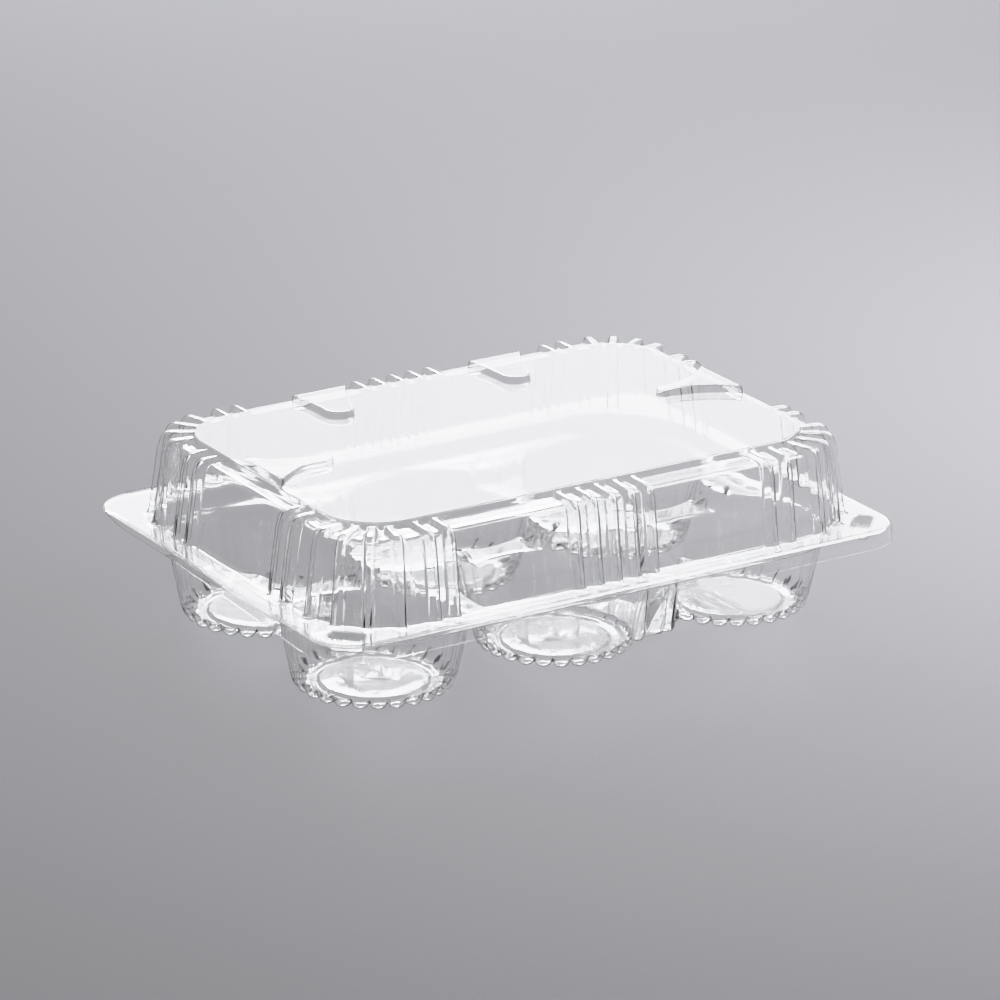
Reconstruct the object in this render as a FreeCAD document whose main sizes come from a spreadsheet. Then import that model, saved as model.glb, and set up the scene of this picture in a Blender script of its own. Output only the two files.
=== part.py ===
import FreeCAD, Part
import math
import os
import re

import Sketcher

# Clear thermoformed clamshell with six round cups, closed.  Millimetres, +X along the long
# side, +Y towards the hinge, +Z up, origin at the bottom centre on the table.
# The real object is one formed sheet, so every piece below is a shell of one gauge, divided
# where the sheet changes from one formed feature to the next.
sizes = {
    "gauge": 0.5,                # thickness of the sheet
    "seat_gap": 0.3,             # room between the two flanges when shut
    "running_gap": 0.5,          # side room of what slides into or over something
    # cups
    "foot_radius": 30.0,         # outside, at the table
    "mouth_radius": 37.0,        # outside, at the deck
    "deck_height": 29.0,
    "saddle_height": 22.0,       # lowered web between two neighbouring cups
    "floor_radius": 20.0,        # raised disc in the middle of a cup's floor
    "floor_raise": 1.2,
    "web_long": 4.2,             # least gap between cups, along X at the deck
    "web_short": 6.7,            # the same, along Y
    "post_reach_long": 22.0,     # half length of a star post between four cups, along X
    "post_reach_short": 20.0,    # the same, along Y
    "crescent_end": 6.0,         # where the deck beside a cup has thinned to nothing
    "channel_height": 1.5,       # underside of the deep channel between two front cups
    # base flange, lid flange and skirt
    "rim_height": 36.35,         # top of the base flange
    "flange_end": 8.15,          # lid flange outside the base opening, at the short sides
    "flange_side": 11.2,         # the same, at the long sides
    "flange_corner": 16.6,
    "skirt_depth": 6.6,          # lip below the lid flange's top, along the front
    "skirt_full": 20.0,          # how far the full depth runs back from the front edge
    "skirt_end": 13.0,           # where the lip has run out, in front of the hinge
    # dome
    "dome_height": 33.42,        # top panel above the lid flange
    "dome_end_inset": 3.85,      # dome foot inside the base opening, short sides
    "dome_side_overhang": 1.0,   # dome foot outside the base opening, long sides
    "dome_corner": 30.5,
    "dome_draft": 8.0,           # degrees
    "step_height": 3.0,          # top panel above the ledge round it
    "ledge_end": 6.45,
    "ledge_side": 10.35,
    "panel_corner": 22.7,
    # ribs
    "rib_depth": 3.5,
    "rib_width": 4.2,
    "rib_pitch": 8.1,
    "rib_drop": 1.0,             # rib tops below the top panel
    "rib_round": 4.0,            # bend of a rib over the dome's shoulder
    "fan_start": 12.0,           # inner end of a corner rib, from the corner's centre
    "fan_first": 10.0,           # degrees, first of the fan of ribs round a corner
    "fan_step": 21.5,            # degrees
    "long_rib_offset": 5.5,      # first straight rib from a corner's centre, long side
    "short_rib_offset": 11.0,    # the same, short side
    # stacking lugs
    "lug_height": 3.0,
    "back_lug_half": 12.0,
    "back_lug_reach": 27.5,
    "back_lug_tip": 6.5,
    "back_lug_side": 90.0,       # radius of its sides
    "back_lug_shift": 3.5,       # its tip leans to the left by this
    "end_lug_half": 14.0,
    "end_lug_reach": 31.0,
    "end_lug_tip": 2.8,
    "end_lug_side": 40.0,
    # snap buttons in the front corners
    "button_length": 13.0,
    "button_width": 7.0,
    "button_depth": 3.5,
    "button_inset": 13.0,        # centre from the lid flange's long and short edges
}
ribs_in_group = 5
straight_ribs = 2
fan_ribs = 4

doc = FreeCAD.newDocument("hinged_cup_pack")
sheet = doc.addObject("Spreadsheet::Sheet", "sizes")
for row, (alias, value) in enumerate(sizes.items(), 1):
    sheet.set("A%d" % row, alias)
    sheet.set("B%d" % row, str(value))
    sheet.setAlias("B%d" % row, alias)
doc.recompute()

# Sizes that follow from the sheet's cells, as expressions.
pitch_x = "(2 * mouth_radius + web_long)"
pitch_y = "(2 * mouth_radius + web_short)"
flare = "((rim_height - gauge - deck_height) * (mouth_radius - foot_radius) / deck_height)"
opening_x = f"({pitch_x} + mouth_radius + {flare})"
opening_y = f"({pitch_y} / 2 + mouth_radius + {flare})"
flange_x = f"({opening_x} + flange_end)"
flange_y = f"({opening_y} + flange_side)"
lid_under = "(rim_height + seat_gap)"
lid_top = "(rim_height + seat_gap + gauge)"
hinge_radius = "(gauge + seat_gap / 2)"          # outside of the fold at the back edge
hinge_y = f"({flange_y} - {hinge_radius})"
hinge_z = "(rim_height + seat_gap / 2)"
panel_top = f"({lid_top} + dome_height)"
ledge_top = f"({panel_top} - step_height)"
dome_x = f"({opening_x} - dome_end_inset)"
dome_y = f"({opening_y} + dome_side_overhang)"
dome_lean = f"(tan(dome_draft * 1deg) * ({ledge_top} - {lid_top}))"
panel_x = f"({dome_x} - {dome_lean} - ledge_end)"
panel_y = f"({dome_y} - {dome_lean} - ledge_side)"
fan_x = f"({dome_x} - dome_corner)"              # centre of a dome corner
fan_y = f"({dome_y} - dome_corner)"
deep = "(2 * flange_end + 100)"                  # long enough to reach past the object


def formula(text):
    """Puts the sheet's name before each alias in an expression."""
    return re.sub(r"[a-z_]+", lambda word: ("sizes." if word[0] in sizes else "") + word[0], text)


def number(text):
    value = sheet.evalExpression(formula(text))
    return float(getattr(value, "Value", value))


def bind(item, **expressions):
    for name, text in expressions.items():
        item.setExpression(name, formula(text))
    return item


def place(item, x="0", y="0", z="0"):
    for axis, text in zip("xyz", (x, y, z)):
        item.setExpression("Placement.Base." + axis, formula(text))
    return item


def turn(item, axis, degrees):
    item.Placement = FreeCAD.Placement(FreeCAD.Vector(), FreeCAD.Rotation(axis, degrees))
    return item


def box(x_low, x_high, y_low, y_high, z_low, z_high):
    item = doc.addObject("Part::Box", "block")
    bind(item, Length=f"{x_high} - ({x_low})", Width=f"{y_high} - ({y_low})",
         Height=f"{z_high} - ({z_low})")
    return place(item, x_low, y_low, z_low)


def cone(x, y, low, high, inset="0"):
    """The outside of a cup, or its inside with an inset, between two heights."""
    item = doc.addObject("Part::Cone", "cup_cone")
    slope = "(mouth_radius - foot_radius) / deck_height"
    bind(item, Radius1=f"foot_radius - {inset} + ({low}) * {slope}",
         Radius2=f"foot_radius - {inset} + ({high}) * {slope}", Height=f"{high} - ({low})")
    return place(item, x, y, low)


def disc(x, y, radius, low, high):
    item = doc.addObject("Part::Cylinder", "disc")
    bind(item, Radius=radius, Height=f"{high} - ({low})")
    return place(item, x, y, low)


def cut(base, tool, label="cut"):
    item = doc.addObject("Part::Cut", label)
    item.Base, item.Tool = base, tool
    return item


def common(base, tool, label="common"):
    item = doc.addObject("Part::Common", label)
    item.Base, item.Tool = base, tool
    return item


def join(items, label="join"):
    item = doc.addObject("Part::MultiFuse", label)
    item.Shapes = items
    return item


def plane_of(body, role):
    return next(f for f in body.Origin.OriginFeatures if f.Role == role)


def new_sketch(body, role="XY_Plane"):
    sketch = body.newObject("Sketcher::SketchObject", "outline")
    sketch.AttachmentSupport = (plane_of(body, role), [""])
    sketch.MapMode = "FlatFace"
    return sketch


def dimension(sketch, name, kind, text, *points):
    """A named driving dimension of a sketch, bound to the sheet."""
    sketch.addConstraint(Sketcher.Constraint(kind, *points, number(text)))
    sketch.renameConstraint(sketch.ConstraintCount - 1, name)
    sketch.setExpression("Constraints." + name, formula(text))


def rounded(sketch, half_x, front, back, radius):
    """A rounded rectangle, even about the Y axis, from -front to +back."""
    x, low, high, r = number(half_x), -number(front), number(back), number(radius)
    point = FreeCAD.Vector
    quarter = 1.5707963
    centres = ((x - r, low + r, 3), (x - r, high - r, 0), (r - x, high - r, 1), (r - x, low + r, 2))
    starts = ((r - x, low), (x, low + r), (x - r, high), (-x, high - r))
    ends = ((x - r, low), (x, high - r), (r - x, high), (-x, low + r))
    first = sketch.GeometryCount
    for (sx, sy), (ex, ey), (cx, cy, turns) in zip(starts, ends, centres):
        sketch.addGeometry(Part.LineSegment(point(sx, sy), point(ex, ey)))
        circle = Part.Circle(point(cx, cy), point(0, 0, 1), r)
        sketch.addGeometry(Part.ArcOfCircle(circle, turns * quarter, (turns + 1) * quarter))
    for side in range(4):
        line, arc = first + 2 * side, first + 2 * side + 1
        following = first + (2 * side + 2) % 8
        sketch.addConstraint(Sketcher.Constraint("Tangent", line, 2, arc, 1))
        sketch.addConstraint(Sketcher.Constraint("Tangent", arc, 2, following, 1))
        sketch.addConstraint(Sketcher.Constraint("Vertical" if side % 2 else "Horizontal", line))
        if side:
            sketch.addConstraint(Sketcher.Constraint("Equal", first + 1, arc))
    tag = "_%d" % first
    dimension(sketch, "corner" + tag, "Radius", radius, first + 1)
    dimension(sketch, "right" + tag, "DistanceX", half_x, -1, 1, first + 2, 1)
    dimension(sketch, "left" + tag, "DistanceX", half_x, first + 6, 1, -1, 1)
    dimension(sketch, "front" + tag, "DistanceY", front, first, 1, -1, 1)
    dimension(sketch, "back" + tag, "DistanceY", back, -1, 1, first + 4, 1)


def pad(label, low, high, outlines, taper=None):
    """A body padded from one height to another; later outlines are holes in the first."""
    body = doc.addObject("PartDesign::Body", label)
    place(body, z=low)
    sketch = new_sketch(body)
    for outline in outlines:
        rounded(sketch, *outline)
    item = body.newObject("PartDesign::Pad", "pad")
    item.Profile = sketch
    bind(item, Length=f"{high} - ({low})")
    if taper:
        bind(item, TaperAngle=taper)
    doc.recompute()
    return body


def even(half_x, half_y, radius):
    return half_x, half_y, half_y, radius


def shrunk(outline, by="gauge"):
    return tuple(f"({text} - {by})" for text in outline)


def round_top(body, radius):
    """Rounds the edges of a body's top face."""
    shape = body.Tip.Shape
    top = max(range(len(shape.Faces)), key=lambda i: shape.Faces[i].CenterOfMass.z)
    item = body.newObject("PartDesign::Fillet", "fillet")
    item.Base = (body.Group[-2], ["Face%d" % (top + 1)])
    bind(item, Radius=radius)
    doc.recompute()


subparts = []


def keep(item, label):
    item.Label = label
    subparts.append(item)
    return item


# ---- base: cups ---------------------------------------------------------------------------
columns = {"left": f"(-{pitch_x})", "middle": "0", "right": pitch_x}
rows = {"front": f"(-{pitch_y} / 2)", "back": f"({pitch_y} / 2)"}
notch_x = f"({pitch_x} / 2 - post_reach_long)"    # half width of a lowered web, along X
notch_y = f"({pitch_y} / 2 - post_reach_short)"


def cup(x, y, sideways, row_sign):
    shell = cut(cone(x, y, "0", "deck_height"), cone(x, y, "gauge", "deck_height", "gauge"))
    shell = join([shell, disc(x, y, "floor_radius", "0", "floor_raise + gauge")])
    shell = cut(shell, disc(x, y, "floor_radius - gauge", "0", "floor_raise"))
    across = [f"{y}", f"{y} - ({row_sign}) * {pitch_y} / 2"]
    low, high = across if row_sign < 0 else reversed(across)
    notches = [box(f"{x} - {notch_x}", f"{x} + {notch_x}", low, high,
                   "saddle_height", "deck_height + gauge")]
    for side in sideways:
        ends = [x, f"{x} + ({side}) * {pitch_x} / 2"]
        low, high = ends if side > 0 else reversed(ends)
        notches.append(box(low, high, f"{y} - {notch_y}", f"{y} + {notch_y}",
                           "saddle_height", "deck_height + gauge"))
    return cut(shell, join(notches))


for row_name, y in rows.items():
    for column_name, x in columns.items():
        sideways = {"left": [1], "middle": [-1, 1], "right": [-1]}[column_name]
        row_sign = -1 if row_name == "front" else 1
        keep(cup(x, y, sideways, row_sign), f"cup_{row_name}_{column_name}")

cup_field = join([cone(x, y, "0", "deck_height") for x in columns.values() for y in rows.values()],
                 "cup_field")

# ---- base: posts and lowered webs between the cups -----------------------------------------
deck_edge = even(f"({pitch_x} + mouth_radius)", f"({pitch_y} / 2 + mouth_radius)", "mouth_radius")
deck_block = pad("deck_block", "0", "deck_height", [deck_edge])


def post(x, y, half_x, half_y, open_x=False, open_y=False):
    """A flat-topped post between cups, open below, with walls only where its ends are closed."""
    inner_x = f"({half_x} + gauge)" if open_x else f"({half_x} - gauge)"
    inner_y = f"({half_y} + gauge)" if open_y else f"({half_y} - gauge)"
    outer = box(f"{x} - {half_x}", f"{x} + {half_x}", f"{y} - {half_y}", f"{y} + {half_y}",
                "saddle_height", "deck_height")
    inner = box(f"{x} - {inner_x}", f"{x} + {inner_x}", f"{y} - {inner_y}", f"{y} + {inner_y}",
                "saddle_height - gauge", "deck_height - gauge")
    return cut(common(cut(outer, inner), deck_block), cup_field)


for side, sign in (("left", "-1"), ("right", "1")):
    keep(post(f"({sign} * {pitch_x} / 2)", "0", "post_reach_long", "post_reach_short"),
         f"post_centre_{side}")
    keep(post(f"({sign} * {pitch_x} * 1.5)", "0", "post_reach_long",
              f"({pitch_y} / 2 - crescent_end)", open_y=True), f"post_end_{side}")
    for row_name, row_sign in (("front", "-1"), ("back", "1")):
        keep(post(f"({sign} * {pitch_x} / 2)", f"({row_sign} * {pitch_y})",
                  f"({pitch_x} / 2 - crescent_end)", "post_reach_short", open_x=True),
             f"post_{row_name}_{side}")


def saddle(x, y, half_x, half_y):
    plate = box(f"{x} - {half_x}", f"{x} + {half_x}", f"{y} - {half_y}", f"{y} + {half_y}",
                "saddle_height - gauge", "saddle_height")
    return cut(plate, cup_field)


for column_name, x in columns.items():
    keep(saddle(x, "0", notch_x, f"({pitch_y} / 2)"), f"saddle_{column_name}")
keep(saddle(f"(-{pitch_x} / 2)", rows["front"], f"({pitch_x} / 2)", notch_y), "saddle_front_left")
keep(saddle(f"(-{pitch_x} / 2)", rows["back"], f"({pitch_x} / 2)", notch_y), "saddle_back_left")
keep(saddle(f"({pitch_x} / 2)", rows["back"], f"({pitch_x} / 2)", notch_y), "saddle_back_right")

# The web between the middle and right front cups is a channel that runs almost to the table.
front = rows["front"]
channel = cut(box("0", pitch_x, f"{front} - {notch_y}", f"{front} + {notch_y}",
                  "channel_height", "saddle_height"),
              box("0", pitch_x, f"{front} - {notch_y} + gauge", f"{front} + {notch_y} - gauge",
                  "channel_height + gauge", "saddle_height + gauge"))
keep(cut(channel, cup_field), "deep_channel")

# ---- base: rim wall, flange, latch sockets and hinge fold ----------------------------------
rim_low = deck_edge
rim_high = even(opening_x, opening_y, f"(mouth_radius + {flare})")
rim_draft = "atan((mouth_radius - foot_radius) / deck_height)"
rim_outer = pad("rim_outer", "deck_height", "rim_height - gauge", [rim_low], rim_draft)
rim_inner = pad("rim_inner", "deck_height", "rim_height - gauge", [shrunk(rim_low)], rim_draft)
keep(cut(rim_outer, rim_inner), "rim_wall")

tuck = "(gauge + running_gap)"                   # base flange inside the lid's skirt
base_edge = (f"({flange_x} - {tuck})", f"({flange_y} - {tuck})", hinge_y,
             f"(flange_corner - {tuck})")
base_flange = pad("base_flange_plate", "rim_height - gauge", "rim_height",
                  [base_edge, shrunk(rim_high)])

corners = {"left": ("-1", -45), "right": ("1", 45)}


def snap_block(sign, degrees, grow, low, high):
    """A block set across a front corner of the flange, larger by grow on every side."""
    length, width = f"(button_length + 2 * ({grow}))", f"(button_width + 2 * ({grow}))"
    block = doc.addObject("Part::Box", "snap_block")
    bind(block, Length=length, Width=width, Height=f"{high} - ({low})")
    turn(block, FreeCAD.Vector(0, 0, 1), degrees)
    turned = f"cos({degrees}deg)", f"sin({degrees}deg)"
    x = f"({sign}) * ({flange_x} - button_inset)"
    y = f"button_inset - {flange_y}"
    return place(block, f"{x} - {length} / 2 * {turned[0]} + {width} / 2 * {turned[1]}",
                 f"{y} - {length} / 2 * {turned[1]} - {width} / 2 * {turned[0]}", low)


socket_floor = f"({lid_under} - button_depth - running_gap - gauge)"
sockets = {}
for side, (sign, degrees) in corners.items():
    room = "running_gap"
    wall = f"({room} + gauge)"
    outer = snap_block(sign, degrees, wall, socket_floor, "rim_height - gauge")
    inner = snap_block(sign, degrees, room, f"{socket_floor} + gauge", "rim_height")
    keep(cut(outer, inner), f"latch_socket_{side}")
socket_holes = join([snap_block(sign, degrees, "running_gap", "rim_height - 2 * gauge",
                                "rim_height + gauge") for sign, degrees in corners.values()])
keep(cut(base_flange, socket_holes), "base_flange")


def fold(radius):
    """Half a round bar along the back edge, bulging backwards."""
    bar = doc.addObject("Part::Cylinder", "fold")
    bar.Angle = 180
    bind(bar, Radius=radius, Height=f"2 * ({flange_x} - flange_corner)")
    turned = FreeCAD.Rotation(FreeCAD.Vector(0, 0, -1), FreeCAD.Vector(0, 1, 0),
                              FreeCAD.Vector(1, 0, 0), "ZXY")
    bar.Placement = FreeCAD.Placement(FreeCAD.Vector(), turned)
    return place(bar, f"flange_corner - {flange_x}", hinge_y, hinge_z)


keep(cut(fold(hinge_radius), fold("seat_gap / 2")), "living_hinge")

# ---- lid: flange, skirt and latch buttons --------------------------------------------------
lid_edge = (flange_x, flange_y, hinge_y, "flange_corner")
dome_foot = even(dome_x, dome_y, "dome_corner")
lid_flange = pad("lid_flange_plate", lid_under, lid_top, [lid_edge, shrunk(dome_foot)])
button_holes = join([snap_block(sign, degrees, "-gauge", f"{lid_under} - gauge",
                                f"{lid_top} + gauge") for sign, degrees in corners.values()])
keep(cut(lid_flange, button_holes), "lid_flange")
for side, (sign, degrees) in corners.items():
    outer = snap_block(sign, degrees, "0", f"{lid_under} - button_depth", lid_under)
    inner = snap_block(sign, degrees, "-gauge", f"{lid_under} - button_depth + gauge", lid_top)
    keep(cut(outer, inner), f"latch_button_{side}")

skirt_low = f"({lid_top} - skirt_depth)"
skirt = pad("lid_skirt", skirt_low, lid_under, [lid_edge, shrunk(lid_edge)])
taper = new_sketch(skirt, "YZ_Plane")
full_y, gone_y = f"({flange_y} - skirt_full)", f"({hinge_y} - skirt_end)"
rise, past = f"({lid_under} - {skirt_low})", f"({hinge_y} + gauge)"
corner_points = [(f"(-{full_y})", "0"), (past, "0"), (past, rise), (gone_y, rise)]
values = [FreeCAD.Vector(number(a), number(b)) for a, b in corner_points]
for i in range(4):
    taper.addGeometry(Part.LineSegment(values[i], values[(i + 1) % 4]))
for i in range(4):
    taper.addConstraint(Sketcher.Constraint("Coincident", i, 2, (i + 1) % 4, 1))
taper.addConstraint(Sketcher.Constraint("PointOnObject", 0, 1, -1))
taper.addConstraint(Sketcher.Constraint("Horizontal", 0))
taper.addConstraint(Sketcher.Constraint("Vertical", 1))
taper.addConstraint(Sketcher.Constraint("Horizontal", 2))
dimension(taper, "full_to", "DistanceX", full_y, 0, 1, -1, 1)
dimension(taper, "past_hinge", "DistanceX", past, -1, 1, 1, 1)
dimension(taper, "rise_to", "DistanceY", rise, 1, 1, 1, 2)
dimension(taper, "gone_at", "DistanceX", gone_y, -1, 1, 3, 1)
runout = skirt.newObject("PartDesign::Pocket", "runout")
runout.Profile = taper
runout.Midplane = True
bind(runout, Length=f"4 * {flange_x}")
doc.recompute()
keep(skirt, "lid_skirt")

# ---- lid: dome, ledge and top panel --------------------------------------------------------
draft = "-dome_draft * 1deg"
dome_outer = pad("dome_outer", lid_top, f"{ledge_top} - gauge", [dome_foot], draft)
dome_inner = pad("dome_inner", lid_top, f"{ledge_top} - gauge", [shrunk(dome_foot)], draft)
dome_shell = cut(dome_outer, dome_inner, "dome_shell")
above, below = f"({ledge_top} + gauge)", f"({lid_top} - gauge)"
wide, long_ = f"({dome_y} + gauge)", f"({dome_x} + gauge)"
for side, sign in (("left", "-1"), ("right", "1")):
    ends = [f"({sign}) * {fan_x}", f"({sign}) * {long_}"]
    low, high = reversed(ends) if side == "left" else ends
    keep(common(dome_shell, box(low, high, f"-{fan_y}", fan_y, below, above)),
         f"dome_side_{side}")
    for row_name, row_sign in (("front", "-1"), ("back", "1")):
        spans = [f"({row_sign}) * {fan_y}", f"({row_sign}) * {wide}"]
        near, far = reversed(spans) if row_name == "front" else spans
        keep(common(dome_shell, box(low, high, near, far, below, above)),
             f"dome_corner_{row_name}_{side}")
        if side == "left":
            keep(common(dome_shell, box(f"-{fan_x}", fan_x, near, far, below, above)),
                 f"dome_side_{row_name}")

ledge_edge = shrunk(dome_foot, dome_lean)
panel_edge = even(panel_x, panel_y, "panel_corner")
keep(pad("shoulder_ledge", f"{ledge_top} - gauge", ledge_top, [ledge_edge, shrunk(panel_edge)]),
     "shoulder_ledge")
keep(pad("panel_step", ledge_top, f"{panel_top} - gauge", [panel_edge, shrunk(panel_edge)]),
     "panel_step")
keep(pad("top_panel", f"{panel_top} - gauge", panel_top, [panel_edge]), "top_panel")

# ---- lid: ribs -----------------------------------------------------------------------------
rib_top = f"({panel_top} - rib_drop)"
crest_foot = even(f"({dome_x} + rib_depth)", f"({dome_y} + rib_depth)", "(dome_corner + rib_depth)")
crest_outer = pad("crest_outer", lid_top, rib_top, [crest_foot], draft)
round_top(crest_outer, "rib_round")
crest_inner = pad("crest_inner", lid_top, f"{rib_top} - gauge", [shrunk(crest_foot)], draft)
round_top(crest_inner, "rib_round - gauge")
wall_block = pad("wall_block", lid_top, ledge_top, [dome_foot], draft)
panel_block = pad("panel_block", f"{ledge_top} - gauge", panel_top, [panel_edge])
rib_band = cut(cut(crest_outer, wall_block), panel_block, "rib_band")


def bar(x, y, degrees, start, width):
    """A bar of a rib's width that runs outwards from a point, at an angle from +X."""
    item = doc.addObject("Part::Box", "bar")
    bind(item, Length=deep, Width=width, Height=f"{panel_top} - {lid_top}")
    turn(item, FreeCAD.Vector(0, 0, 1), number(degrees))
    bind(item, **{"Placement.Rotation.Angle": f"({degrees}) * 1deg"})
    across, along = f"sin(({degrees}) * 1deg)", f"cos(({degrees}) * 1deg)"
    return place(item, f"{x} + ({start}) * {along} + {width} / 2 * {across}",
                 f"{y} + ({start}) * {across} - {width} / 2 * {along}", lid_top)


def rib_group(bars):
    """Hollow ribs where bars cross the band between the dome's wall and the rib crests."""
    solid = common(rib_band, join([bar(*b, "rib_width") for b in bars]))
    hollow = common(crest_inner, join([bar(*b, "(rib_width - 2 * gauge)") for b in bars]))
    return cut(solid, hollow)


for row_name, row_sign, heading in (("front", "-1", 270), ("back", "1", 90)):
    middle = [(f"({i - ribs_in_group // 2}) * rib_pitch", f"({row_sign}) * {fan_y}",
               str(heading), "0") for i in range(ribs_in_group)]
    keep(rib_group(middle), f"ribs_{row_name}_middle")
    for side, sign, outward in (("left", "-1", 180), ("right", "1", 0)):
        centre = f"({sign}) * {fan_x}", f"({row_sign}) * {fan_y}"
        bars = []
        for i in range(straight_ribs):
            bars.append((f"({sign}) * ({fan_x} - long_rib_offset - {i} * rib_pitch)", centre[1],
                         str(heading), "0"))
            bars.append((centre[0], f"({row_sign}) * ({fan_y} - short_rib_offset - {i} * rib_pitch)",
                         str(outward), "0"))
        swing = "1" if (side == "right") == (row_name == "back") else "-1"
        for i in range(fan_ribs):
            angle = f"({outward} + ({swing}) * (fan_first + {i} * fan_step))"
            bars.append((*centre, angle, "fan_start"))
        keep(rib_group(bars), f"ribs_{row_name}_{side}")

# ---- lid: stacking lugs --------------------------------------------------------------------


def bowed(start, end, centre, radius):
    """The arc about a centre that runs anticlockwise from one point to another."""
    angles = [math.atan2(p.y - centre.y, p.x - centre.x) for p in (start, end)]
    angles[1] += 2 * math.pi if angles[1] < angles[0] else 0
    return Part.ArcOfCircle(Part.Circle(centre, FreeCAD.Vector(0, 0, 1), radius), *angles)


def lug_outline(sketch, half, reach, tip, radius, shift):
    """A triangle on the X axis with a rounded tip towards +Y and sides that curve inwards."""
    h, r, t, side, x = (number(size) for size in (half, reach, tip, radius, shift))
    point = FreeCAD.Vector
    nose = point(x, r - t)
    sketch.addGeometry(Part.LineSegment(point(-h, 0), point(h, 0)))
    for sign in (1, -1):
        corner, throat = point(sign * h, 0), nose + point(sign * t, 0)
        chord = throat - corner
        away = point(chord.y, -chord.x).normalize() * sign
        centre = (corner + throat) * 0.5 + away * (side ** 2 - (chord.Length / 2) ** 2) ** 0.5
        ends = (throat, corner) if sign > 0 else (corner, throat)
        sketch.addGeometry(bowed(*ends, centre, side))
        if sign > 0:
            sketch.addGeometry(bowed(throat, nose - point(t, 0), nose, t))
    for a, a_end, b, b_end in ((0, 2, 1, 2), (1, 1, 2, 1), (2, 2, 3, 2), (3, 1, 0, 1)):
        sketch.addConstraint(Sketcher.Constraint("Coincident", a, a_end, b, b_end))
    sketch.addConstraint(Sketcher.Constraint("PointOnObject", 0, 1, -1))
    sketch.addConstraint(Sketcher.Constraint("PointOnObject", 0, 2, -1))
    sketch.addConstraint(Sketcher.Constraint("Equal", 1, 3))
    sketch.addConstraint(Sketcher.Constraint("Symmetric", 2, 1, 2, 2, 2, 3))
    sketch.addConstraint(Sketcher.Constraint("Horizontal", 2, 1, 2, 2))
    if x:
        dimension(sketch, "nose_shift", "DistanceX", shift, -1, 1, 2, 3)
    else:
        sketch.addConstraint(Sketcher.Constraint("PointOnObject", 2, 3, -2))
    dimension(sketch, "half_right", "DistanceX", half, -1, 1, 0, 2)
    dimension(sketch, "half_left", "DistanceX", half, 0, 1, -1, 1)
    dimension(sketch, "neck_at", "DistanceY", f"{reach} - {tip}", -1, 1, 2, 3)
    dimension(sketch, "tip_radius", "Radius", tip, 2)
    dimension(sketch, "side_radius", "Radius", radius, 1)


def lug(label, x, y, degrees, kind, shift="0"):
    half, reach, tip, side = (f"{kind}_lug_{size}" for size in ("half", "reach", "tip", "side"))
    body = doc.addObject("PartDesign::Body", label)
    turn(body, FreeCAD.Vector(0, 0, 1), degrees)
    place(body, x, y, panel_top)
    outside = new_sketch(body)
    lug_outline(outside, half, reach, tip, side, shift)
    solid = body.newObject("PartDesign::Pad", "pad")
    solid.Profile = outside
    bind(solid, Length="lug_height")
    doc.recompute()
    inside = new_sketch(body)
    lug_outline(inside, f"({half} - gauge)", f"({reach} - gauge)", f"({tip} - gauge)",
                f"({side} + gauge)", shift)
    hollow = body.newObject("PartDesign::Pocket", "hollow")
    hollow.Profile = inside
    hollow.Reversed = True
    bind(hollow, Length="lug_height - gauge")
    doc.recompute()
    return keep(body, label)


for side, sign in (("left", "-1"), ("right", "1")):
    lug(f"stacking_lug_back_{side}", f"({sign}) * {pitch_x} / 2", panel_y, 180, "back",
        "back_lug_shift")
    lug(f"stacking_lug_end_{side}", f"({sign}) * {panel_x}", "0", 90 if side == "right" else -90,
        "end")

# ---- checks and files ----------------------------------------------------------------------
doc.recompute()
failed = [o.Label for o in doc.Objects if "Invalid" in o.State or "Error" in o.State]
if failed:
    raise RuntimeError("these objects failed: " + ", ".join(failed))
for item in subparts:
    if item.Shape.isNull() or not item.Shape.isValid() or not item.Shape.Solids:
        raise RuntimeError(item.Label + " has no valid solid")

os.makedirs("parts", exist_ok=True)
for item in subparts:
    item.Shape.exportStep(f"parts/{item.Label}.step")
box_all = FreeCAD.BoundBox()
for item in subparts:
    box_all.add(item.Shape.BoundBox)
    print(f"{item.Label:26s} {len(item.Shape.Solids)} solids {item.Shape.Volume:9.1f} mm3")
print("parts", len(subparts), "size", box_all)
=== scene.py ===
import math

import bpy
import numpy as np
from mathutils import Matrix, Vector
from mathutils.geometry import delaunay_2d_cdt


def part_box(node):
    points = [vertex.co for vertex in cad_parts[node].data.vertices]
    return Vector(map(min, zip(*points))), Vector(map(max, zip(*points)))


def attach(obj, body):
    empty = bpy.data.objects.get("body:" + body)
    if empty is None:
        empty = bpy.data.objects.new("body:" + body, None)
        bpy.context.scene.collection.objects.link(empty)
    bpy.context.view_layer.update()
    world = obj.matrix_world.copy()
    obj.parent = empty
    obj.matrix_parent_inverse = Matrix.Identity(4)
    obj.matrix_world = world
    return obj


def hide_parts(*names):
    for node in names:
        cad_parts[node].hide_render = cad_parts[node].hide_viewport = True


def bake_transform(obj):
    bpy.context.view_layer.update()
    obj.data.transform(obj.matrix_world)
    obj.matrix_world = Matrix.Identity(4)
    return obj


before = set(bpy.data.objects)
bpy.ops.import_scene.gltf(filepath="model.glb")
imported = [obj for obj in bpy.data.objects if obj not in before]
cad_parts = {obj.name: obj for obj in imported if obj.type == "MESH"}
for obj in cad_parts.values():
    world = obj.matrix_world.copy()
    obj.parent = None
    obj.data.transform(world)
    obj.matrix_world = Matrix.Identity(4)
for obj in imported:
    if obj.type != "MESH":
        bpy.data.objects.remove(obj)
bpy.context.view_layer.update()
mm = 0.001


def low(node):
    return np.array(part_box(node)[0])


def high(node):
    return np.array(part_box(node)[1])


def middle(node):
    return (low(node) + high(node)) / 2


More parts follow.
